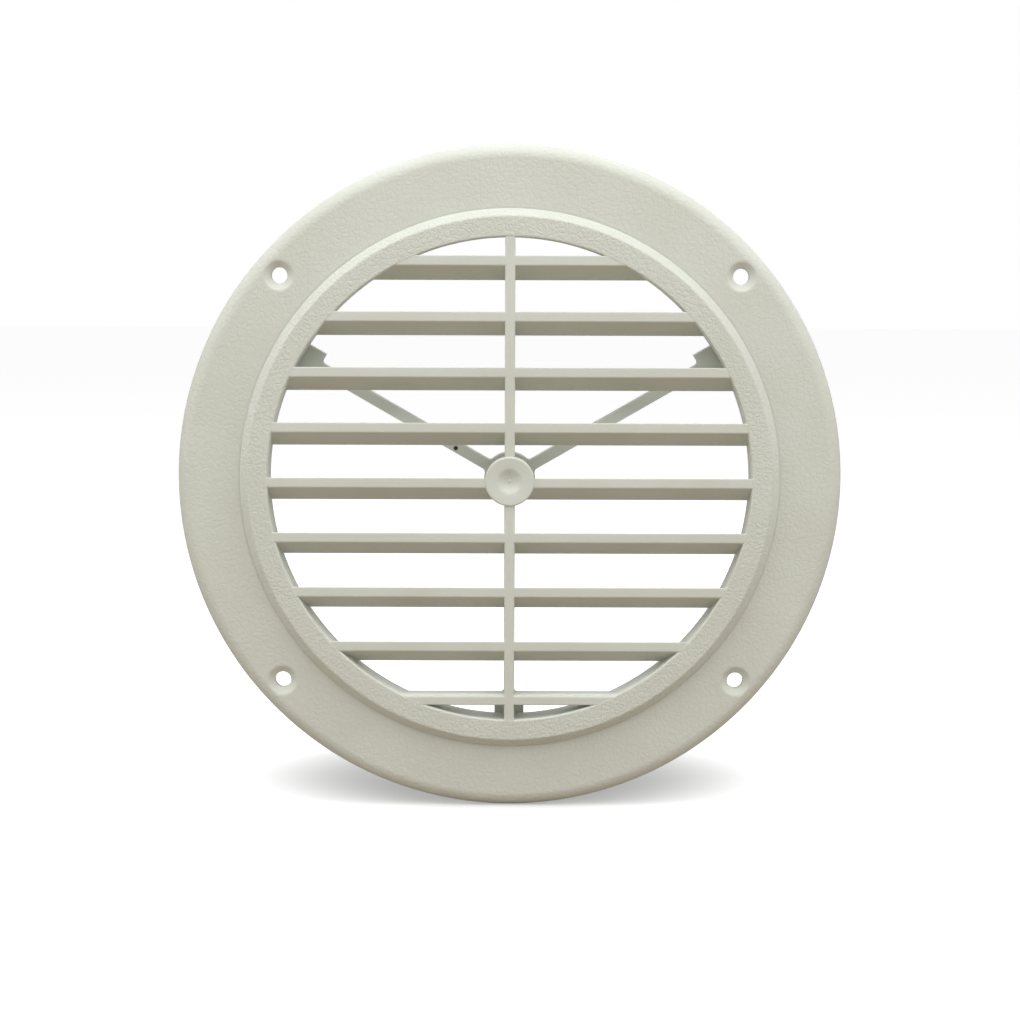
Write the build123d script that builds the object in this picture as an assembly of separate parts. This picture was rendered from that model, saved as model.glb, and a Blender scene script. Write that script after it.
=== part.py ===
# Round ceiling air grille: a screw-on mounting ring and the louvre disc that turns in it.
# The grille stands upright: +Z is its top, -Y faces the room and +Y goes into the duct.
# The origin is on the grille's axis, in the mounting plane at the back of the flange.
import os
from math import cos, floor, hypot, radians, sin, tan

from build123d import *

# Driving dimensions, in millimetres and degrees

# Louvre disc: ring and skirt
opening_dia = 129.0
ring_face_width = 5.55
ring_slope_width = 2.0
ring_height = 2.4
ring_edge = 0.45
ring_crest_ease = 0.5
opening_ease = 0.4
skirt_wall = 2.2
skirt_depth = 9.8

# Louvre disc: slats and rib
slat_pitch = 14.7
slat_face = 2.85
slat_tail = 2.25
slat_depth = 7.0
slat_tilt = 30.5
slat_ease = 0.35
slat_row_offset = -0.3
rib_face = 2.75
rib_tail = 2.2

# Louvre disc: hub and snap pivot
hub_dia = 13.2
hub_thickness = 3.2
hub_proud = 0.5
hub_dish = 0.6
hub_ease = 0.4
dimple_dia = 6.4
dimple_depth = 1.1
gate_dia = 1.0
gate_height = 0.1
pivot_dia = 6.0
pivot_shoulder = 1.6
pivot_slot = 1.6
barb_lip = 0.5
barb_land = 0.6
barb_taper = 1.8

# Mounting ring: flange
flange_width = 16.85
flange_height = 3.4
flange_wall = 2.2
rim_round = 3.1
rim_reach = 3.7
rim_edge = 0.3
rim_steps = 4
rim_wall = 2.2
land_width = 2.7

# Mounting ring: screw holes
screw_inset = 7.1
screw_angle = 41.6
screw_hole_dia = 4.3
screw_head_dia = 7.8
countersink_angle = 110.0
screw_boss_wall = 3.3

# Mounting ring: collar and spider
collar_wall = 2.0
collar_lead = 0.6
arm_count = 3
arm_width = 2.9
arm_depth = 4.8
foot_width = 8.0
foot_reach = 7.7
foot_round = 0.8
hub_wall = 3.84
hub_arm_round = 1.2

# Clearances
seat_gap = 0.1
skirt_gap = 0.6
spider_gap = 0.4
pivot_clearance = 0.06
shoulder_gap = 0.25
snap_gap = 0.15

# Radii about the grille's axis
opening_r = opening_dia / 2
skirt_r = opening_r + skirt_wall
crest_r = opening_r + ring_face_width
lip_r = crest_r + ring_slope_width
flange_r = lip_r + flange_width
collar_r = skirt_r + skirt_gap
collar_outer_r = collar_r + collar_wall
land_r = collar_outer_r + land_width
screw_r = flange_r - screw_inset
pivot_r = pivot_dia / 2
bore_r = pivot_r + pivot_clearance
spider_hub_r = bore_r + hub_wall

# Places along the axis
flange_face_y = -flange_height
pocket_y = flange_face_y + flange_wall
seat_y = flange_face_y - seat_gap
louvre_face_y = seat_y - ring_height
skirt_end_y = louvre_face_y + skirt_depth
slat_end_y = louvre_face_y + slat_depth
hub_face_y = louvre_face_y - hub_proud
hub_back_y = louvre_face_y + hub_thickness
spider_front_y = max(skirt_end_y, slat_end_y) + spider_gap
spider_back_y = spider_front_y + arm_depth
barb_y = spider_back_y + snap_gap

# Overlap that makes a cut run clear of a face
cut_margin = 1.0

# Least room for a slat's face at the top and bottom of the opening, in slat faces
end_slat_room = 1.5

# Largest share of the foot's side step that its rounded corner may take
foot_round_share = 2 / 3

# How near a corner must lie to the hub's circle to count as on it
hub_touch = 0.1


def along_y(x, y, z):
    """A plane at a point, with its normal into the duct."""
    return Plane(origin=(x, y, z), x_dir=(1, 0, 0), z_dir=(0, 1, 0))


def rod(radius, y_from, y_to, x=0.0, z=0.0):
    """A round bar along the grille's axis."""
    bar = Cylinder(radius, y_to - y_from, align=(Align.CENTER, Align.CENTER, Align.MIN))
    return along_y(x, y_from, z) * bar


def corner(face, x, y):
    """The corner of a flat outline that lies at a point."""
    return face.vertices().sort_by_distance(Vector(x, y, 0))[0]


def rim_points():
    """Points round the quarter ellipse of the flange's rim, from its face to its edge."""
    fall = min(rim_round, flange_height - rim_edge)
    start_r = flange_r - rim_reach
    angles = [radians(90 * step / rim_steps) for step in range(rim_steps + 1)]
    return [(start_r + rim_reach * sin(a), flange_face_y + fall - fall * cos(a)) for a in angles]


def flange_and_collar():
    """The turned section of the mounting ring: rounded rim, hollow back and collar."""
    lip_in = flange_r - rim_wall
    section = Polygon(
        (collar_r, flange_face_y),
        *rim_points(),
        (flange_r, 0),
        (lip_in, 0),
        (lip_in, pocket_y),
        (land_r, pocket_y),
        (land_r, 0),
        (collar_outer_r, 0),
        (collar_outer_r, spider_back_y - collar_lead),
        (collar_outer_r - collar_lead, spider_back_y),
        (collar_r, spider_back_y),
        align=None,
    )
    return revolve(section, Axis.Y)


def screw_places():
    """The four screw centres, as X and Z."""
    x = screw_r * cos(radians(screw_angle))
    z = screw_r * sin(radians(screw_angle))
    return [(-x, z), (x, z), (-x, -z), (x, -z)]


def countersunk_hole(x, z):
    """A through hole with its countersink at the flange's face."""
    hole_r = screw_hole_dia / 2
    slope = tan(radians(countersink_angle / 2))
    wide_r = screw_head_dia / 2 + cut_margin * slope
    sink = Cone(wide_r, hole_r, (wide_r - hole_r) / slope, align=(Align.CENTER, Align.CENTER, Align.MIN))
    sink = along_y(x, flange_face_y - cut_margin, z) * sink
    return sink + rod(hole_r, flange_face_y - cut_margin, cut_margin, x, z)


def spider_arm():
    """One arm's outline along +X, from the axis to its wide foot in the collar wall."""
    foot_in = collar_r - foot_reach
    foot_out = collar_r + collar_wall / 2
    bar = Rectangle(foot_out, arm_width, align=(Align.MIN, Align.CENTER))
    foot = Rectangle(foot_out - foot_in, foot_width, align=(Align.MIN, Align.CENTER))
    arm = bar + Pos(foot_in, 0) * foot
    corners = [corner(arm, foot_in, side * arm_width / 2) for side in (-1, 1)]
    foot_step = (foot_width - arm_width) / 2
    return fillet(corners, min(foot_round, foot_step * foot_round_share))


def spider():
    """The three-armed support behind the louvre, with the pivot's bore in its hub."""
    outline = Sketch() + Circle(spider_hub_r)
    for index in range(arm_count):
        outline += Rot(0, 0, index * 360 / arm_count - 90) * spider_arm()
    on_hub = [v for v in outline.vertices() if abs(hypot(v.X, v.Y) - spider_hub_r) < hub_touch]
    outline = fillet(on_hub, hub_arm_round)
    web = extrude(Plane.XZ.offset(-spider_back_y) * outline, arm_depth)
    return web - rod(bore_r, spider_front_y - cut_margin, spider_back_y + cut_margin)


def mounting_ring():
    """Flange, collar, screw bosses and spider, moulded as one piece."""
    boss_r = screw_hole_dia / 2 + screw_boss_wall
    ring = flange_and_collar() + spider()
    for x, z in screw_places():
        ring += rod(boss_r, pocket_y - flange_wall / 2, 0, x, z)
    for x, z in screw_places():
        ring -= countersunk_hole(x, z)
    return ring


def louvre_ring():
    """The raised ring that laps over the flange, and the skirt that runs in the collar."""
    section = Polygon(
        (opening_r, louvre_face_y),
        (crest_r, louvre_face_y),
        (lip_r, seat_y - ring_edge),
        (lip_r, seat_y),
        (skirt_r, seat_y),
        (skirt_r, skirt_end_y),
        (opening_r, skirt_end_y),
        align=None,
    )
    section = chamfer(corner(section, opening_r, louvre_face_y), opening_ease)
    section = chamfer(corner(section, crest_r, louvre_face_y), ring_crest_ease)
    return revolve(section, Axis.Y)


def slat(z, drop):
    """One slat along X, its face centred at height z and its back edge lower by drop."""
    lean = (slat_face - slat_tail) / 2
    section = Polygon(
        (louvre_face_y, z + slat_face / 2),
        (louvre_face_y, z - slat_face / 2),
        (slat_end_y, z - slat_face / 2 + lean - drop),
        (slat_end_y, z + slat_face / 2 - lean - drop),
        align=None,
    )
    front = section.vertices().group_by(Axis.X)[0]
    section = chamfer(front, slat_ease)
    return extrude(Plane.YZ * section, skirt_r, both=True)


def rib():
    """The upright rib that ties the slats together."""
    section = Polygon(
        (-rib_face / 2, louvre_face_y),
        (rib_face / 2, louvre_face_y),
        (rib_tail / 2, slat_end_y),
        (-rib_tail / 2, slat_end_y),
        align=None,
    )
    return extrude(section, skirt_r, both=True)


def bars():
    """All slats and the rib, trimmed to end inside the skirt's wall."""
    rows = floor((opening_r - end_slat_room * slat_face) / slat_pitch)
    drop = slat_depth * tan(radians(slat_tilt))
    grid = rib()
    for row in range(-rows, rows + 1):
        square_on = row == -rows
        grid += slat(slat_row_offset + row * slat_pitch, 0 if square_on else drop)
    return grid & rod(opening_r + skirt_wall / 2, louvre_face_y, slat_end_y)


def hub_and_pivot():
    """The turned hub: dished face, shoulder, and the pin with its snap barb."""
    hub_r = hub_dia / 2
    shoulder_r = pivot_r + pivot_shoulder
    shoulder_y = spider_front_y - shoulder_gap
    tip_y = barb_y + barb_land + barb_taper
    section = Polygon(
        (0, hub_face_y + hub_dish),
        (hub_r, hub_face_y),
        (hub_r, hub_back_y),
        (shoulder_r, hub_back_y),
        (shoulder_r, shoulder_y),
        (pivot_r, shoulder_y),
        (pivot_r, barb_y),
        (pivot_r + barb_lip, barb_y),
        (pivot_r + barb_lip, barb_y + barb_land),
        (pivot_r - barb_lip, tip_y),
        (0, tip_y),
        align=None,
    )
    section = chamfer(corner(section, hub_r, hub_face_y), hub_ease)
    slot_length = tip_y - shoulder_y + cut_margin
    slot_span = 2 * (shoulder_r + cut_margin)
    slot = Box(pivot_slot, slot_length, slot_span, align=(Align.CENTER, Align.MIN, Align.CENTER))
    return revolve(section, Axis.Y) - Pos(0, shoulder_y, 0) * slot


def louvre_disc():
    """Ring, slats, rib, hub and pivot, moulded as one piece, with a dimple at the hub's gate mark."""
    bowl_r = ((dimple_dia / 2) ** 2 + dimple_depth**2) / (2 * dimple_depth)
    bowl_y = hub_face_y + hub_dish * (1 - dimple_dia / hub_dia) + dimple_depth
    disc = louvre_ring() + bars() + hub_and_pivot()
    disc -= Pos(0, bowl_y - bowl_r, 0) * Sphere(bowl_r)
    return disc + rod(gate_dia / 2, bowl_y - gate_height, hub_back_y)


os.makedirs("parts", exist_ok=True)
export_step(mounting_ring(), "parts/mounting_ring.step")
export_step(louvre_disc(), "parts/louvre_disc.step")
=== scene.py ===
# Round ceiling air grille: its two mouldings, their plastic, the studio and the camera.
# The frame is the part's own: metres, +Z is the top, -Y faces the room, +Y goes into the duct.
import math

import bmesh
import bpy
from mathutils import Matrix, Vector


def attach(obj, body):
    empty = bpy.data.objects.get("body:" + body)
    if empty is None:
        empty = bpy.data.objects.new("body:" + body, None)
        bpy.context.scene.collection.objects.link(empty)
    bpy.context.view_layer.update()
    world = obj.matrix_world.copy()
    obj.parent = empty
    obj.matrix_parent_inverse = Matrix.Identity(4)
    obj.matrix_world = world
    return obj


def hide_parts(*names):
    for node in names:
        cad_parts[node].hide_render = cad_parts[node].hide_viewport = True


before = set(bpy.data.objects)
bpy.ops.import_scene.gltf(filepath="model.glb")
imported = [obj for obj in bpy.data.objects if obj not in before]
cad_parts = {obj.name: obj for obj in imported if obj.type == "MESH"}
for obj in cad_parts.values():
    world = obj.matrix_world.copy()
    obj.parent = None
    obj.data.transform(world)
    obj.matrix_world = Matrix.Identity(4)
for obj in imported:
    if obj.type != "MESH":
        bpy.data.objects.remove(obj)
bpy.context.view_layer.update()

MM = 0.001

# Louvre disc: ring and skirt
OPENING_R = 64.5 * MM
OPENING_BACK_R = 64.6 * MM
SKIRT_R = 66.7 * MM
CREST_R = 70.05 * MM
LIP_R = 72.05 * MM
LOUVRE_FACE_Y = -5.9 * MM
LIP_TOP_Y = -3.95 * MM
SEAT_Y = -3.5 * MM
SKIRT_END_Y = 3.9 * MM

# Louvre disc: slats and rib
SLAT_PITCH = 14.7 * MM
SLAT_ROWS = 4
SLAT_ROW_OFFSET = -0.3 * MM
SLAT_FACE = 2.85 * MM
SLAT_TAIL = 2.25 * MM
SLAT_END_Y = 1.1 * MM
SLAT_TILT = math.radians(30.5)
SLAT_ROUND = 0.35 * MM
SLAT_TOP_ROUND = 0.55 * MM
SQUARE_SLAT_TOP_ROUND = 0.9 * MM
SLAT_ROUND_STEPS = 5
RIB_FACE = 2.75 * MM
RIB_TAIL = 2.2 * MM
RIB_ROUND_STEPS = 4
BAR_TRIM_R = 65.6 * MM

# Louvre disc: hub and snap pivot
HUB_R = 6.6 * MM
HUB_FACE_Y = -6.4 * MM
HUB_DISH = 0.6 * MM
HUB_BACK_Y = -2.7 * MM
SHOULDER_R = 4.6 * MM
SHOULDER_Y = 4.05 * MM
PIVOT_R = 3.0 * MM
BARB_R = 3.5 * MM
BARB_Y = 9.25 * MM
BARB_LAND = 0.6 * MM
TIP_R = 2.5 * MM
TIP_Y = 11.65 * MM
PIVOT_SLOT = 1.6 * MM

# Louvre disc: the hub's dimple, with the radii of its bowl as shares of its own
DIMPLE_R = 3.2 * MM
DIMPLE_DEPTH = 1.1 * MM
DIMPLE_LIP_DROP = 0.1 * MM
DIMPLE_FLARE = 2 * MM
DIMPLE_FLARE_LIFT = 0.25 * MM
BOWL_SHARES = (0.85, 0.7, 0.55, 0.4, 0.28)
GATE_R = 0.5 * MM
GATE_HEIGHT = 0.1 * MM

# Mounting ring: flange and collar
FLANGE_R = 88.9 * MM
FLANGE_FACE_Y = -3.4 * MM
RIM_ROUND = 3.1 * MM
RIM_REACH = 3.7 * MM
RIM_BASE_Y = -0.2 * MM
RIM_INNER_R = 86.7 * MM
POCKET_Y = -1.2 * MM
LAND_R = 72.0 * MM
COLLAR_OUTER_R = 69.3 * MM
COLLAR_R = 67.3 * MM
COLLAR_END_Y = 9.1 * MM
COLLAR_LEAD = 0.6 * MM

# Mounting ring: screw holes
SCREW_X = 61.17 * MM
SCREW_Z = 54.31 * MM
SCREW_HOLE_R = 2.15 * MM
COUNTERSINK_R = 3.9 * MM
COUNTERSINK_HALF_ANGLE = math.radians(55.0)
FLARE_R = 7.0 * MM
FLARE_MOUTH_R = 4.05 * MM
FLARE_SLOPE = math.tan(math.radians(12))
SCREW_BOSS_R = 5.45 * MM
BOSS_END_Y = -0.05 * MM

# Mounting ring: spider
ARM_ANGLES = (-90, 30, 150)
ARM_HALF = 1.45 * MM
FOOT_HALF = 4.0 * MM
FOOT_IN = 59.6 * MM
FOOT_OUT = 68.3 * MM
FOOT_ROUND = 0.8 * MM
SPIDER_HUB_R = 6.9 * MM
HUB_ARM_ROUND = 1.2 * MM
SPIDER_FRONT_Y = 4.3 * MM
SPIDER_BORE_R = 3.06 * MM
FILLET_STEPS = 6
HUB_ARC_STEPS = 12

# Roundings of edges and corners
GATE_EDGE = 0.05 * MM
BARB_EDGE = 0.1 * MM
FINE_EDGE = 0.15 * MM
SMALL_EDGE = 0.2 * MM
SKIRT_EDGE = 0.3 * MM
DIMPLE_EDGE = 0.35 * MM
ROOT_CORNER = 0.4 * MM
FACE_EDGE = 0.45 * MM
POCKET_CORNER = 0.5 * MM
COUNTERSINK_EDGE = 0.5 * MM
CREST_EDGE = 0.8 * MM

# Length of a step along a rounding, and the fewest steps in one
ROUND_STEP = 0.25 * MM
LEAST_ROUND_STEPS = 3

# Steps round a full turn for large and small circles, and a radius between the two
RING_STEPS = 240
SMALL_STEPS = 64
SMALL_R = 15 * MM

# Smallest distance between separate points of a mesh
WELD = 0.001 * MM

# Overlap that makes a cut run clear of a face
CUT_MARGIN = MM

# Sharpest turn that is shaded smooth, and how far large faces lead the normals
SMOOTH_ANGLE = math.radians(35)
FLAT_WEIGHT = 100


def deselect_all():
    """Leave edit mode with nothing selected."""
    if bpy.context.object and bpy.context.object.mode != "OBJECT":
        bpy.ops.object.mode_set(mode="OBJECT")
    bpy.ops.object.select_all(action="DESELECT")


def pick(piece):
    """Make one piece the only selected and active one."""
    deselect_all()
    piece.select_set(True)
    bpy.context.view_layer.objects.active = piece


def settle():
    """Move the active piece's place into its mesh, so that its object sits at the origin."""
    bpy.ops.object.transform_apply(location=True, rotation=True, scale=True)


def select_points(piece, wanted):
    """In edit mode, select the points that a test picks, and what they span."""
    bpy.ops.mesh.select_all(action="DESELECT")
    mesh = bmesh.from_edit_mesh(piece.data)
    for point in mesh.verts:
        point.select = wanted(point.co)
    mesh.select_flush_mode()
    bmesh.update_edit_mesh(piece.data)


def select_edges(piece, wanted):
    """In edit mode, select only the edges that a test picks by their two ends."""
    bpy.ops.mesh.select_mode(type="EDGE")
    bpy.ops.mesh.select_all(action="DESELECT")
    mesh = bmesh.from_edit_mesh(piece.data)
    for edge in mesh.edges:
        edge.select = wanted(edge.verts[0].co, edge.verts[1].co)
    mesh.select_flush_mode()
    bmesh.update_edit_mesh(piece.data)


def draw_outline(name, points):
    """A closed wire drawn with extrude, point by point, from a plane merged to its middle."""
    deselect_all()
    bpy.ops.mesh.primitive_plane_add(size=MM, location=points[0])
    piece = bpy.context.object
    piece.name = name
    settle()
    bpy.ops.object.mode_set(mode="EDIT")
    bpy.ops.mesh.select_mode(type="VERT")
    bpy.ops.mesh.select_all(action="SELECT")
    bpy.ops.mesh.merge(type="CENTER")
    for here, there in zip(points, points[1:]):
        bpy.ops.mesh.extrude_region_move(TRANSFORM_OT_translate={"value": there - here})
    ends = (points[0], points[-1])
    select_points(piece, lambda co: any((co - end).length < WELD for end in ends))
    bpy.ops.mesh.edge_face_add()
    return piece


def round_corner(piece, points, index, radius, steps):
    """Round one corner of an outline with a bevel of its point."""
    corner = points[index]
    before = (points[index - 1] - corner).normalized()
    after = (points[(index + 1) % len(points)] - corner).normalized()
    turn = math.pi - before.angle(after)
    select_points(piece, lambda co: (co - corner).length < WELD)
    bpy.ops.mesh.bevel(offset=radius * math.tan(turn / 2), segments=steps, affect="VERTICES")


def turned(name, corners, steps, shape=None):
    """A closed section of (radius, y, rounding) corners, spun once round the grille's axis."""
    points = [Vector((radius, y, 0)) for radius, y, rounding in corners]
    piece = draw_outline(name, points)
    for index, (radius, y, rounding) in enumerate(corners):
        if rounding:
            round_steps = max(LEAST_ROUND_STEPS, round(rounding / ROUND_STEP))
            round_corner(piece, points, index, rounding, round_steps)
    if shape:
        shape(piece)
    bpy.ops.mesh.select_all(action="SELECT")
    bpy.ops.mesh.spin(steps=steps, angle=math.tau, center=(0, 0, 0), axis=(0, 1, 0))
    close_mesh()
    return piece


def close_mesh():
    """Weld the seams and poles of the mesh in edit mode and turn its faces outwards."""
    bpy.ops.mesh.select_all(action="SELECT")
    bpy.ops.mesh.remove_doubles(threshold=WELD)
    bpy.ops.mesh.dissolve_degenerate(threshold=WELD)
    bpy.ops.mesh.select_all(action="SELECT")
    bpy.ops.mesh.normals_make_consistent(inside=False)
    bpy.ops.object.mode_set(mode="OBJECT")


def combine(piece, tool, operation):
    """Join a tool to a piece, cut it away or keep what they share, and clear the tool."""
    pick(piece)
    bpy.ops.object.modifier_add(type="BOOLEAN")
    modifier = piece.modifiers[-1]
    modifier.object = tool
    modifier.operation = operation
    modifier.solver = "EXACT"
    bpy.ops.object.modifier_apply(modifier=modifier.name)
    bpy.data.objects.remove(tool)


def block(name, low, high):
    """A cube set to run from one corner to another."""
    deselect_all()
    bpy.ops.mesh.primitive_cube_add(size=1, location=(Vector(low) + Vector(high)) / 2)
    piece = bpy.context.object
    piece.name = name
    piece.scale = Vector(high) - Vector(low)
    settle()
    return piece


def rod(name, radius, y_from, y_to, x=0.0, z=0.0):
    """A cylinder along the grille's axis."""
    deselect_all()
    bpy.ops.mesh.primitive_cylinder_add(
        vertices=SMALL_STEPS if radius < SMALL_R else RING_STEPS,
        radius=radius,
        depth=y_to - y_from,
        location=(x, (y_from + y_to) / 2, z),
        rotation=(math.pi / 2, 0, 0),
    )
    piece = bpy.context.object
    piece.name = name
    settle()
    return piece


def copy_at(piece, offset):
    """A copy of a piece with its own mesh, moved by an offset."""
    pick(piece)
    bpy.ops.object.duplicate(linked=False)
    copy = bpy.context.object
    copy.location = offset
    settle()
    return copy


def smooth_off(piece):
    """Shade curves smooth, keep true edges, and let the large flats keep their own normals."""
    pick(piece)
    bpy.ops.object.shade_smooth_by_angle(angle=SMOOTH_ANGLE)
    bpy.ops.object.modifier_add(type="WEIGHTED_NORMAL")
    modifier = piece.modifiers[-1]
    modifier.keep_sharp = True
    modifier.weight = FLAT_WEIGHT
    bpy.ops.object.modifier_apply(modifier=modifier.name)


def arc(centre, radius, start, end, steps):
    """Points along an arc, as pairs."""
    angles = [start + (end - start) * step / steps for step in range(steps + 1)]
    return [(centre[0] + radius * math.cos(a), centre[1] + radius * math.sin(a)) for a in angles]


# Mounting ring


def flange_and_collar():
    """The turned body: rounded rim, hollow back and the collar that enters the duct."""
    corners = [
        (COLLAR_R, FLANGE_FACE_Y, SMALL_EDGE),
        (FLANGE_R, FLANGE_FACE_Y, RIM_ROUND),
        (FLANGE_R, 0, FINE_EDGE),
        (RIM_INNER_R, 0, SMALL_EDGE),
        (RIM_INNER_R, POCKET_Y, POCKET_CORNER),
        (LAND_R, POCKET_Y, POCKET_CORNER),
        (LAND_R, 0, SMALL_EDGE),
        (COLLAR_OUTER_R, 0, ROOT_CORNER),
        (COLLAR_OUTER_R, COLLAR_END_Y - COLLAR_LEAD, SKIRT_EDGE),
        (COLLAR_OUTER_R - COLLAR_LEAD, COLLAR_END_Y, FINE_EDGE),
        (COLLAR_R, COLLAR_END_Y, SMALL_EDGE),
    ]

    def widen_rim(piece):
        """Stretch the rim's quarter circle inwards, to the reach the real one has."""
        start = FLANGE_R - RIM_ROUND - WELD
        select_points(piece, lambda co: co.x > start and co.y < RIM_BASE_Y)
        bpy.ops.transform.resize(
            value=(RIM_REACH / RIM_ROUND, 1, 1), center_override=(FLANGE_R, FLANGE_FACE_Y, 0)
        )

    return turned("ring_moulding", corners, RING_STEPS, widen_rim)


def spider_points():
    """The spider's outline: three arms with wide feet, rounded where they leave the hub."""
    reach = SPIDER_HUB_R + HUB_ARM_ROUND
    side = ARM_HALF + HUB_ARM_ROUND
    root = (math.sqrt(reach**2 - side**2), side)
    lean = math.atan2(root[1], root[0])
    foot = (FOOT_IN - FOOT_ROUND, ARM_HALF + FOOT_ROUND)
    hub_fillet = arc(root, HUB_ARM_ROUND, lean + math.pi, 1.5 * math.pi, FILLET_STEPS)
    foot_fillet = arc(foot, FOOT_ROUND, -math.pi / 2, 0, FILLET_STEPS)
    upper = hub_fillet + foot_fillet + [(FOOT_IN, FOOT_HALF), (FOOT_OUT, FOOT_HALF)]
    arm = [(u, -v) for u, v in upper] + upper[::-1]
    gap = math.tau / len(ARM_ANGLES) - 2 * lean
    between = arc((0, 0), SPIDER_HUB_R, lean, lean + gap, HUB_ARC_STEPS)[1:-1]
    points = []
    for angle in ARM_ANGLES:
        c, s = math.cos(math.radians(angle)), math.sin(math.radians(angle))
        points += [Vector((u * c - v * s, SPIDER_FRONT_Y, u * s + v * c)) for u, v in arm + between]
    return points


def spider():
    """The three-armed support behind the louvre, with its hub bored."""
    piece = draw_outline("spider", spider_points())
    bpy.ops.mesh.select_all(action="SELECT")
    bpy.ops.mesh.edge_face_add()
    depth = COLLAR_END_Y - SPIDER_FRONT_Y
    bpy.ops.mesh.extrude_region_move(TRANSFORM_OT_translate={"value": (0, depth, 0)})
    bpy.ops.mesh.select_all(action="SELECT")
    bpy.ops.mesh.normals_make_consistent(inside=False)
    bpy.ops.object.mode_set(mode="OBJECT")
    bore = rod("bore", SPIDER_BORE_R, SPIDER_FRONT_Y - CUT_MARGIN, COLLAR_END_Y + CUT_MARGIN)
    combine(piece, bore, "DIFFERENCE")
    return piece


def screw_cutter():
    """What a countersunk hole takes away: a bore, a cone and a softly flared mouth."""
    slope = 1 / math.tan(COUNTERSINK_HALF_ANGLE)
    cone_depth = slope * (COUNTERSINK_R - SCREW_HOLE_R)
    cone_y = FLANGE_FACE_Y + cone_depth
    lip_r = (cone_depth + slope * SCREW_HOLE_R - FLARE_SLOPE * FLARE_MOUTH_R) / (slope - FLARE_SLOPE)
    lip_y = cone_y + slope * (SCREW_HOLE_R - lip_r)
    clear_y = FLANGE_FACE_Y - 2 * CUT_MARGIN
    corners = [
        (0, clear_y, 0),
        (FLARE_R, clear_y, 0),
        (FLARE_R, FLANGE_FACE_Y - FLARE_SLOPE * (FLARE_R - FLARE_MOUTH_R), 0),
        (lip_r, lip_y, COUNTERSINK_EDGE),
        (SCREW_HOLE_R, cone_y, SMALL_EDGE),
        (SCREW_HOLE_R, CUT_MARGIN, 0),
        (0, CUT_MARGIN, 0),
    ]
    return turned("screw_cutter", corners, SMALL_STEPS)


def mounting_ring():
    """Flange, collar, spider, screw bosses and countersunk holes in one moulding."""
    piece = flange_and_collar()
    combine(piece, spider(), "UNION")
    places = [(x, z) for x in (-SCREW_X, SCREW_X) for z in (-SCREW_Z, SCREW_Z)]
    for x, z in places:
        combine(piece, rod("boss", SCREW_BOSS_R, POCKET_Y - CUT_MARGIN, BOSS_END_Y, x, z), "UNION")
    cutter = screw_cutter()
    for x, z in places:
        combine(piece, copy_at(cutter, (x, 0, z)), "DIFFERENCE")
    bpy.data.objects.remove(cutter)
    smooth_off(piece)
    return piece


# Louvre disc


def louvre_ring():
    """The raised ring that laps over the flange, and its skirt with a slight draft inside."""
    corners = [
        (OPENING_R, LOUVRE_FACE_Y, FACE_EDGE),
        (CREST_R, LOUVRE_FACE_Y, CREST_EDGE),
        (LIP_R, LIP_TOP_Y, SMALL_EDGE),
        (LIP_R, SEAT_Y, 0),
        (SKIRT_R, SEAT_Y, SKIRT_EDGE),
        (SKIRT_R, SKIRT_END_Y, SKIRT_EDGE),
        (OPENING_BACK_R, SKIRT_END_Y, SKIRT_EDGE),
    ]
    return turned("louvre_moulding", corners, RING_STEPS)


def on_slat_front(a, b, side):
    """Whether two points end a slat's long front edge, on its upper (1) or lower (-1) side."""
    long_front = max(a.y, b.y) < 0 and abs(a.x - b.x) > SKIRT_R
    return long_front and min(side * a.z, side * b.z) > SLAT_FACE / 2 - WELD


def slat(drop, top_round):
    """One slat: a block with its back thinned and lowered, and its front edges rounded."""
    half = SLAT_FACE / 2
    piece = block("slat", (-SKIRT_R, LOUVRE_FACE_Y, -half), (SKIRT_R, SLAT_END_Y, half))
    bpy.ops.object.mode_set(mode="EDIT")
    select_points(piece, lambda co: co.y > 0)
    bpy.ops.transform.resize(value=(1, 1, SLAT_TAIL / SLAT_FACE), center_override=(0, 0, 0))
    bpy.ops.transform.translate(value=(0, 0, -drop))
    for side, rounding in ((1, top_round), (-1, SLAT_ROUND)):
        select_edges(piece, lambda a, b: on_slat_front(a, b, side))
        bpy.ops.mesh.bevel(offset=rounding, segments=SLAT_ROUND_STEPS, affect="EDGES")
    bpy.ops.object.mode_set(mode="OBJECT")
    return piece


def rib():
    """The upright rib: a block narrowed to the back, with its front edges rounded."""
    half = RIB_FACE / 2
    piece = block("rib", (-half, LOUVRE_FACE_Y, -SKIRT_R), (half, SLAT_END_Y, SKIRT_R))
    bpy.ops.object.mode_set(mode="EDIT")
    select_points(piece, lambda co: co.y > 0)
    bpy.ops.transform.resize(value=(RIB_TAIL / RIB_FACE, 1, 1), center_override=(0, 0, 0))
    select_edges(piece, lambda a, b: max(a.y, b.y) < 0 and abs(a.z - b.z) > SKIRT_R)
    bpy.ops.mesh.bevel(offset=SLAT_ROUND, segments=RIB_ROUND_STEPS, affect="EDGES")
    bpy.ops.object.mode_set(mode="OBJECT")
    return piece


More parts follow.
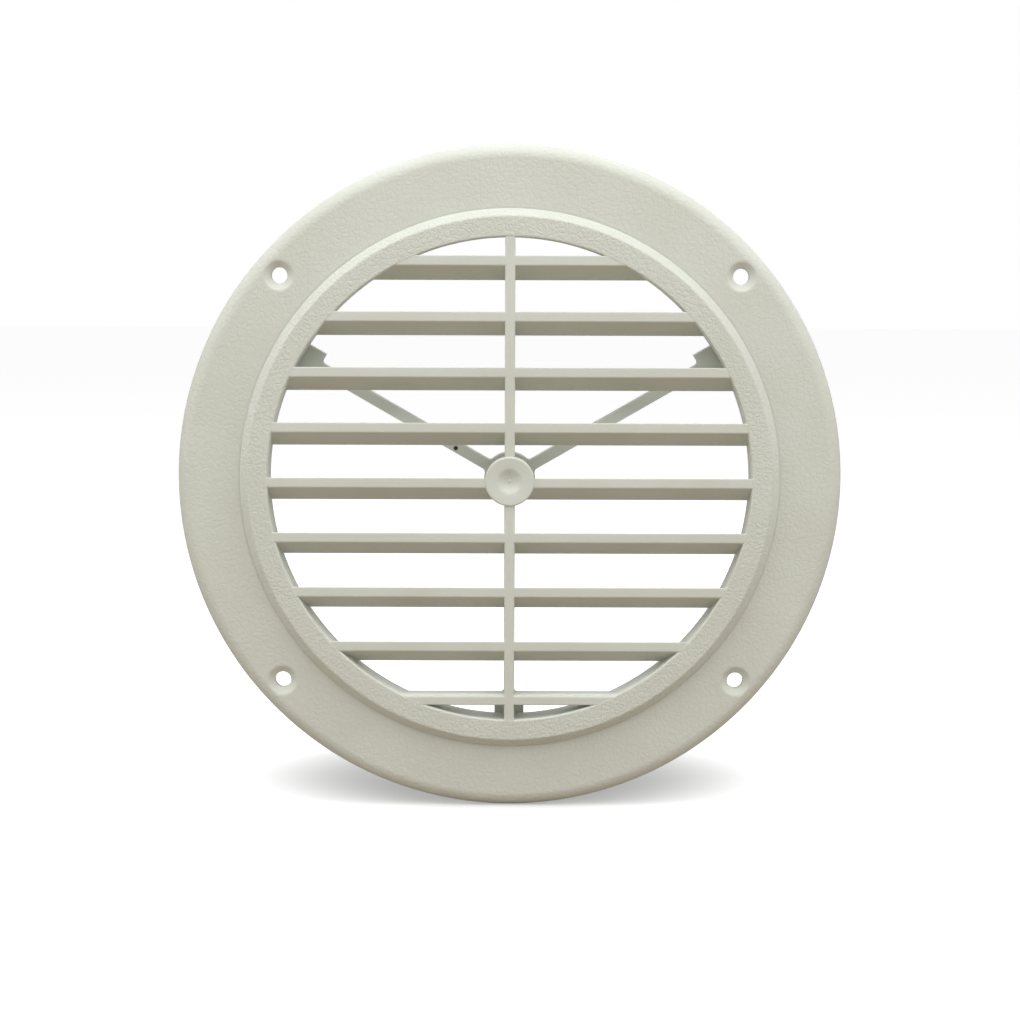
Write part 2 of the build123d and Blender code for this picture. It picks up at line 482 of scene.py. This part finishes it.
def bars():
    """All slats and the rib, trimmed to end inside the skirt's wall. The lowest slat is square on."""
    slanted = slat((SLAT_END_Y - LOUVRE_FACE_Y) * math.tan(SLAT_TILT), SLAT_TOP_ROUND)
    square = slat(0, SQUARE_SLAT_TOP_ROUND)
    copies = [copy_at(square, (0, 0, SLAT_ROW_OFFSET - SLAT_ROWS * SLAT_PITCH))]
    for row in range(1 - SLAT_ROWS, SLAT_ROWS + 1):
        copies.append(copy_at(slanted, (0, 0, SLAT_ROW_OFFSET + row * SLAT_PITCH)))
    bpy.data.objects.remove(slanted)
    bpy.data.objects.remove(square)
    grid = copies[0]
    pick(grid)
    for copy in copies:
        copy.select_set(True)
    bpy.ops.object.join()
    combine(grid, rib(), "UNION")
    trim = rod("trim", BAR_TRIM_R, LOUVRE_FACE_Y - CUT_MARGIN, SLAT_END_Y + CUT_MARGIN)
    combine(grid, trim, "INTERSECT")
    return grid


def hub_and_pivot():
    """The hub, its shoulder and the slotted snap pin."""
    corners = [
        (0, HUB_FACE_Y + HUB_DISH, 0),
        (HUB_R, HUB_FACE_Y, FACE_EDGE),
        (HUB_R, HUB_BACK_Y, SMALL_EDGE),
        (SHOULDER_R, HUB_BACK_Y, ROOT_CORNER),
        (SHOULDER_R, SHOULDER_Y, SMALL_EDGE),
        (PIVOT_R, SHOULDER_Y, 0),
        (PIVOT_R, BARB_Y, 0),
        (BARB_R, BARB_Y, BARB_EDGE),
        (BARB_R, BARB_Y + BARB_LAND, SMALL_EDGE),
        (TIP_R, TIP_Y, SMALL_EDGE),
        (0, TIP_Y, 0),
    ]
    piece = turned("hub", corners, SMALL_STEPS)
    half = PIVOT_SLOT / 2
    slot = block("slot", (-half, SHOULDER_Y, -2 * PIVOT_R), (half, TIP_Y + CUT_MARGIN, 2 * PIVOT_R))
    combine(piece, slot, "DIFFERENCE")
    return piece


def dimple_cutter():
    """What the hub's dimple takes away: a bowl with a soft lip, less the gate mark at its bottom."""
    bowl_r = (DIMPLE_R**2 + DIMPLE_DEPTH**2) / (2 * DIMPLE_DEPTH)
    dish = HUB_DISH / HUB_R
    lip_y = HUB_FACE_Y + dish * (HUB_R - DIMPLE_R)
    bowl_y = lip_y + DIMPLE_DEPTH
    bowl = []
    for share in BOWL_SHARES:
        radius = share * DIMPLE_R
        bowl.append((radius, bowl_y - bowl_r + math.sqrt(bowl_r**2 - radius**2), 0))
    flare_r = DIMPLE_R + DIMPLE_FLARE
    flare_y = lip_y - dish * (flare_r - DIMPLE_R) - DIMPLE_FLARE_LIFT
    corners = [
        (0, HUB_FACE_Y - CUT_MARGIN, 0),
        (flare_r, HUB_FACE_Y - CUT_MARGIN, 0),
        (flare_r, flare_y, 0),
        (DIMPLE_R, lip_y + DIMPLE_LIP_DROP, DIMPLE_EDGE),
        *bowl,
        (GATE_R, bowl_y, 0),
        (GATE_R, bowl_y - GATE_HEIGHT, GATE_EDGE),
        (0, bowl_y - GATE_HEIGHT, 0),
    ]
    return turned("dimple_cutter", corners, SMALL_STEPS)


def louvre_disc():
    """Ring, slats, rib, hub and pivot in one moulding."""
    piece = louvre_ring()
    combine(piece, bars(), "UNION")
    combine(piece, hub_and_pivot(), "UNION")
    combine(piece, dimple_cutter(), "DIFFERENCE")
    smooth_off(piece)
    return piece


# Plastic


class Value:
    """A shader socket that takes part in plain arithmetic."""

    def __init__(self, finish, socket):
        self.finish = finish
        self.socket = socket

    def math(self, operation, first, second):
        return self.finish.value("ShaderNodeMath", {"operation": operation}, {0: first, 1: second})

    def __add__(self, other):
        return self.math("ADD", self, other)

    def __radd__(self, other):
        return self.math("ADD", other, self)

    def __sub__(self, other):
        return self.math("SUBTRACT", self, other)

    def __rsub__(self, other):
        return self.math("SUBTRACT", other, self)

    def __mul__(self, other):
        return self.math("MULTIPLY", self, other)

    def __rmul__(self, other):
        return self.math("MULTIPLY", other, self)

    def __pow__(self, other):
        return self.math("POWER", self, other)


class Finish:
    """The nodes of a material or a world, under construction."""

    def __init__(self, owner):
        owner.use_nodes = True
        self.tree = owner.node_tree
        self.tree.nodes.clear()

    def node(self, kind, settings, sockets):
        """Add a node, set it up, then fill its sockets with numbers or links."""
        made = self.tree.nodes.new(kind)
        for key, setting in settings.items():
            setattr(made, key, setting)
        self.fill(made, sockets)
        return made

    def fill(self, made, sockets):
        """Give a node's sockets their numbers or links."""
        for key, value in sockets.items():
            if isinstance(value, Value):
                self.tree.links.new(value.socket, made.inputs[key])
            else:
                made.inputs[key].default_value = value

    def value(self, kind, settings, sockets, output=0):
        """One output of a new node."""
        return Value(self, self.node(kind, settings, sockets).outputs[output])

    def place(self):
        """The place on the piece, whole and as x, y and z."""
        whole = self.value("ShaderNodeTexCoord", {}, {}, "Object")
        split = self.node("ShaderNodeSeparateXYZ", {}, {"Vector": whole})
        return whole, *[Value(self, out) for out in split.outputs]

    def noise(self, place, scale, detail, output):
        """Soft noise over a place."""
        sockets = {"Vector": place, "Scale": scale, "Detail": detail}
        return self.value("ShaderNodeTexNoise", {}, sockets, output)

    def size(self, value):
        """A value without its sign."""
        return self.value("ShaderNodeMath", {"operation": "ABSOLUTE"}, {0: value})

    def step(self, value, low, high):
        """A smooth step from 0 at low to 1 at high."""
        sockets = {"Value": value, "From Min": low, "From Max": high}
        return self.value("ShaderNodeMapRange", {"interpolation_type": "SMOOTHSTEP"}, sockets)

    def seen(self):
        """1 for rays from the eye, and for mirror and see-through rays, which show the same white."""
        rays = self.node("ShaderNodeLightPath", {}, {})
        names = ("Is Camera Ray", "Is Glossy Ray", "Is Transmission Ray")
        eye, mirror, through = [Value(self, rays.outputs[name]) for name in names]
        settings = {"operation": "ADD", "use_clamp": True}
        return self.value("ShaderNodeMath", settings, {0: eye + mirror, 1: through})

    def blend(self, share, first, second):
        """A mix of two colours, by the colour sockets of the mix node."""
        sockets = {"Factor_Float": share, "A_Color": first, "B_Color": second}
        made = self.tree.nodes.new("ShaderNodeMix")
        made.data_type = "RGBA"
        chosen = {}
        for index, socket in enumerate(made.inputs):
            if socket.identifier in sockets:
                chosen[index] = sockets[socket.identifier]
        self.fill(made, chosen)
        return Value(self, [out for out in made.outputs if out.identifier == "Result_Color"][0])


def colour(red, green, blue):
    """A colour with full alpha."""
    return (red, green, blue, 1.0)


PLASTIC = colour(0.608, 0.632, 0.573)
PLASTIC_PALE = colour(0.638, 0.662, 0.603)
PLASTIC_WARM = colour(0.583, 0.597, 0.527)
PIT_SHADE = colour(0.012, 0.011, 0.008)
WHITE = colour(1.0, 1.0, 1.0)
BLACK = colour(0.0, 0.0, 0.0)
FLOOR_BOUNCE = colour(0.34, 0.275, 0.20)
FLOOR_SEEN = colour(0.40, 0.40, 0.40)

# Leather grain: pebbles bent by a slow drift, with a fine wrinkle over them
RING_GRAIN_SCALE = 620.0
RING_GRAIN_DEPTH = 0.09 * MM
LOUVRE_GRAIN_SCALE = 760.0
LOUVRE_GRAIN_DEPTH = 0.15 * MM
DRIFT_SCALE = 260.0
DRIFT_DETAIL = 2.0
DRIFT_REACH = (0.0012, 0.0012, 0.0012)
CREASE_WIDTH = 0.22
CREASE_WEIGHT = 0.35
WRINKLE_FINENESS = 1.7
FINE_DETAIL = 3.0

# Where the grain fades in or out, and what share of it the slats keep
RING_GRAIN_R = (72.2 * MM, 72.6 * MM)
RING_GRAIN_Y = (-0.5 * MM, -0.1 * MM)
SCREW_GRAIN_R = (3.9 * MM, 4.5 * MM)
LOUVRE_GRAIN_R = (OPENING_R, OPENING_R + 0.6 * MM)
LOUVRE_GRAIN_Y = (-4.6 * MM, -3.4 * MM)
SLAT_GRAIN = 0.15
RING_EXTRA_GRAIN = 0.85

# Faint mottling of the colour, and painted shade, darker and warmer, in the creases of the grain
MOTTLE_SCALE = 45.0
MOTTLE_RANGE = (0.3, 0.7)
MOTTLE_SHARE = 0.5
CREASE_SHADE = 0.25

# Sheen
ROUGHNESS = 0.58
GRAIN_ROUGHNESS = 0.08
WRINKLE_ROUGHNESS = 0.05
PLASTIC_IOR = 1.46
SPECULAR_LEVEL = 0.25

# Painted shade of a small pit on the left spider arm: a black dot
PIT_PLACE = (-14.6 * MM, 4.3 * MM, 8.08 * MM)
PIT_SHADE_R = (0.45 * MM, 0.75 * MM)


def moulded_plastic(name, grain_share, grain_scale, grain_depth, pit_shade=None):
    """Warm off-white moulded plastic: leather grain where the tool had it, smooth elsewhere, with
    painted shade in the grain's creases and, if given, at a small pit.
    """
    material = bpy.data.materials.new(name)
    finish = Finish(material)
    place, x, y, z = finish.place()
    radius = (x * x + z * z) ** 0.5

    drift = finish.noise(place, DRIFT_SCALE, DRIFT_DETAIL, "Color")
    bent = finish.value(
        "ShaderNodeVectorMath",
        {"operation": "MULTIPLY_ADD"},
        {0: drift, 1: DRIFT_REACH, 2: place},
    )
    pebbles = finish.value(
        "ShaderNodeTexVoronoi",
        {"feature": "DISTANCE_TO_EDGE"},
        {"Vector": bent, "Scale": grain_scale},
        "Distance",
    )
    creases = finish.step(pebbles, 0.0, CREASE_WIDTH)
    wrinkle = finish.noise(bent, WRINKLE_FINENESS * grain_scale, FINE_DETAIL, "Fac")
    height = creases * CREASE_WEIGHT + wrinkle

    share = grain_share(finish, x, y, z, radius)
    mottle = finish.noise(place, MOTTLE_SCALE, FINE_DETAIL, "Fac")
    tone = finish.blend(finish.step(mottle, *MOTTLE_RANGE), PLASTIC_WARM, PLASTIC_PALE)
    base = finish.blend(MOTTLE_SHARE, PLASTIC, tone)
    # Painted shade: the creases of the grain are drawn darker and warmer
    crease_shaded_colour = finish.blend((1.0 - creases) * share * CREASE_SHADE, base, PLASTIC_WARM)
    # Painted shade: a black dot stands for the shade inside a small pit on the left spider arm
    if pit_shade:
        dx, dy, dz = x - pit_shade[0], y - pit_shade[1], z - pit_shade[2]
        away = (dx * dx + dy * dy + dz * dz) ** 0.5
        crease_shaded_colour = finish.blend(1.0 - finish.step(away, *PIT_SHADE_R), crease_shaded_colour, PIT_SHADE)

    relief = {"Strength": 1.0, "Distance": grain_depth, "Height": height * share}
    bump = finish.value("ShaderNodeBump", {}, relief, "Normal")
    shader = finish.value(
        "ShaderNodeBsdfPrincipled",
        {},
        {
            "Base Color": crease_shaded_colour,
            "Roughness": ROUGHNESS + GRAIN_ROUGHNESS * share + WRINKLE_ROUGHNESS * wrinkle,
            "Normal": bump,
            "IOR": PLASTIC_IOR,
            "Specular IOR Level": SPECULAR_LEVEL,
        },
    )
    finish.node("ShaderNodeOutputMaterial", {}, {"Surface": shader})
    return material


def ring_grain(finish, x, y, z, radius):
    """Grain on the flange's front and rim, but not in the countersinks."""
    outer = finish.step(radius, *RING_GRAIN_R)
    front = 1.0 - finish.step(y, *RING_GRAIN_Y)
    ax = finish.size(x) - SCREW_X
    az = finish.size(z) - SCREW_Z
    screw = finish.step((ax * ax + az * az) ** 0.5, *SCREW_GRAIN_R)
    return outer * front * screw


def louvre_grain(finish, x, y, z, radius):
    """Full grain on the raised ring's face, and a trace of it on the slats, rib and hub."""
    ring = finish.step(radius, *LOUVRE_GRAIN_R)
    front = 1.0 - finish.step(y, *LOUVRE_GRAIN_Y)
    return front * (SLAT_GRAIN + RING_EXTRA_GRAIN * ring)


# Studio

# Floor: a painted shadow, its white for the eye dimmed in an oval round the grille, and a little less
# in front
FLOOR_SIZE = 12
SHADOW_OVAL_SHIFT = 1 * MM
SHADOW_OVAL_BACK = 33 * MM
SHADOW_OVAL_ACROSS = 0.55
SHADOW_OVAL_BEHIND = 0.8
SHADOW_OVAL_FADE = (18 * MM, 54 * MM)
SHADOW_FRONT_FADE = (-14 * MM, 1 * MM)
GLOW_IN_PAINTED_SHADOW = 0.22
FAR_GLOW = 0.75
FRONT_GLOW = 0.22

# Soft lamps: name, place, width, height and watts, all pointed at one place
LAMP_AIM = (0, 0, 0)
SOFTBOXES = (
    ("overhead_softbox", (0, -0.02, 0.6), 2.0, 0.4, 3.5),
    ("high_softbox", (0, -0.26, 0.5), 2.0, 0.4, 5.2),
    ("front_softbox", (0, -1.2, 0.5), 2.0, 1.2, 8.5),
    ("back_softbox", (0, 0.7, 0.5), 1.4, 0.5, 2.8),
    ("left_softbox", (-0.9, -0.25, 0.2), 0.6, 0.6, 1.35),
    ("right_softbox", (0.9, -0.25, 0.2), 0.6, 0.6, 1.35),
)

# Light from the room itself: none, the lamps give it all
ROOM_LIGHT = 0.0

# Camera: the lens is a focal length in pixels of the picture's width
CAMERA_PLACE = (-0.49 * MM, -536.9 * MM, 52.26 * MM)
CAMERA_PITCH = math.radians(6.43)
CAMERA_YAW = math.radians(-0.065)
CAMERA_ROLL = math.radians(0.174)
FOCAL_PIXELS = 2006.0
PICTURE_PIXELS = 1020.0
SENSOR_WIDTH = 36.0
CLIP_NEAR = 10 * MM
CLIP_FAR = 100.0


def floor():
    """The pale floor that the grille stands on: it keeps the cast shadow and adds a painted shadow, its
    white dimmed in an oval round the grille, and reads as white further off.
    """
    deselect_all()
    bpy.ops.mesh.primitive_plane_add(size=FLOOR_SIZE, location=(0, 0, -FLANGE_R))
    piece = bpy.context.object
    piece.name = "studio_floor"
    settle()
    material = bpy.data.materials.new("studio_floor_white_painted_shadow")
    finish = Finish(material)
    seen = finish.seen()
    tint = finish.blend(seen, FLOOR_BOUNCE, FLOOR_SEEN)
    paper = finish.value("ShaderNodeBsdfDiffuse", {}, {"Color": tint})
    x, y = finish.place()[1:3]
    across = SHADOW_OVAL_ACROSS * (x + SHADOW_OVAL_SHIFT)
    behind = SHADOW_OVAL_BEHIND * (y - SHADOW_OVAL_BACK)
    far = finish.step((across * across + behind * behind) ** 0.5, *SHADOW_OVAL_FADE)
    ahead = 1.0 - finish.step(y, *SHADOW_FRONT_FADE)
    # Painted shadow: the floor's glow is lowest in the oval round the grille
    painted_shadow_level = GLOW_IN_PAINTED_SHADOW + FAR_GLOW * far + FRONT_GLOW * ahead
    glow_with_painted_shadow = finish.blend(painted_shadow_level * seen, BLACK, WHITE)
    painted_shadow_emission = finish.value("ShaderNodeEmission", {}, {"Color": glow_with_painted_shadow})
    both = finish.value("ShaderNodeAddShader", {}, {0: paper, 1: painted_shadow_emission})
    finish.node("ShaderNodeOutputMaterial", {}, {"Surface": both})
    piece.data.materials.append(material)


def softbox(name, place, width, height, watts):
    """A rectangular soft lamp that points at the grille."""
    deselect_all()
    bpy.ops.object.light_add(type="AREA", location=place)
    lamp = bpy.context.object
    lamp.name = name
    lamp.data.shape = "RECTANGLE"
    lamp.data.size = width
    lamp.data.size_y = height
    lamp.data.energy = watts
    lamp.rotation_mode = "QUATERNION"
    lamp.rotation_quaternion = (Vector(LAMP_AIM) - Vector(place)).to_track_quat("-Z", "Y")


def surroundings():
    """Plain white for the eye and for mirror rays, and no light from the room on the grille."""
    world = bpy.data.worlds.new("white_room")
    bpy.context.scene.world = world
    finish = Finish(world)
    seen = finish.seen()
    room = finish.value("ShaderNodeBackground", {}, {"Color": WHITE, "Strength": ROOM_LIGHT})
    sky = finish.value("ShaderNodeBackground", {}, {"Color": WHITE})
    both = finish.value("ShaderNodeMixShader", {}, {0: seen, 1: room, 2: sky})
    finish.node("ShaderNodeOutputWorld", {}, {"Surface": both})


def camera():
    """The photograph's view: from the front and a little above, almost square on."""
    deselect_all()
    bpy.ops.object.camera_add(location=CAMERA_PLACE)
    piece = bpy.context.object
    turn = Matrix.Rotation(CAMERA_YAW, 3, "Z") @ Matrix.Rotation(math.pi / 2 - CAMERA_PITCH, 3, "X")
    piece.rotation_mode = "QUATERNION"
    piece.rotation_quaternion = (turn @ Matrix.Rotation(CAMERA_ROLL, 3, "Z")).to_quaternion()
    piece.data.sensor_width = SENSOR_WIDTH
    piece.data.lens = FOCAL_PIXELS / PICTURE_PIXELS * SENSOR_WIDTH
    piece.data.clip_start = CLIP_NEAR
    piece.data.clip_end = CLIP_FAR
    bpy.context.scene.camera = piece


ring_plastic = moulded_plastic(
    "ring_grained_plastic", ring_grain, RING_GRAIN_SCALE, RING_GRAIN_DEPTH, PIT_PLACE
)
ring_piece = mounting_ring()
ring_piece.data.materials.clear()
ring_piece.data.materials.append(ring_plastic)
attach(ring_piece, "ring")
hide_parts("mounting_ring")

louvre_plastic = moulded_plastic(
    "louvre_grained_plastic", louvre_grain, LOUVRE_GRAIN_SCALE, LOUVRE_GRAIN_DEPTH
)
louvre_piece = louvre_disc()
louvre_piece.data.materials.clear()
louvre_piece.data.materials.append(louvre_plastic)
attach(louvre_piece, "louvre")
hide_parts("louvre_disc")

floor()
surroundings()
for lamp_settings in SOFTBOXES:
    softbox(*lamp_settings)
camera()

bpy.context.scene.view_settings.view_transform = "Standard"
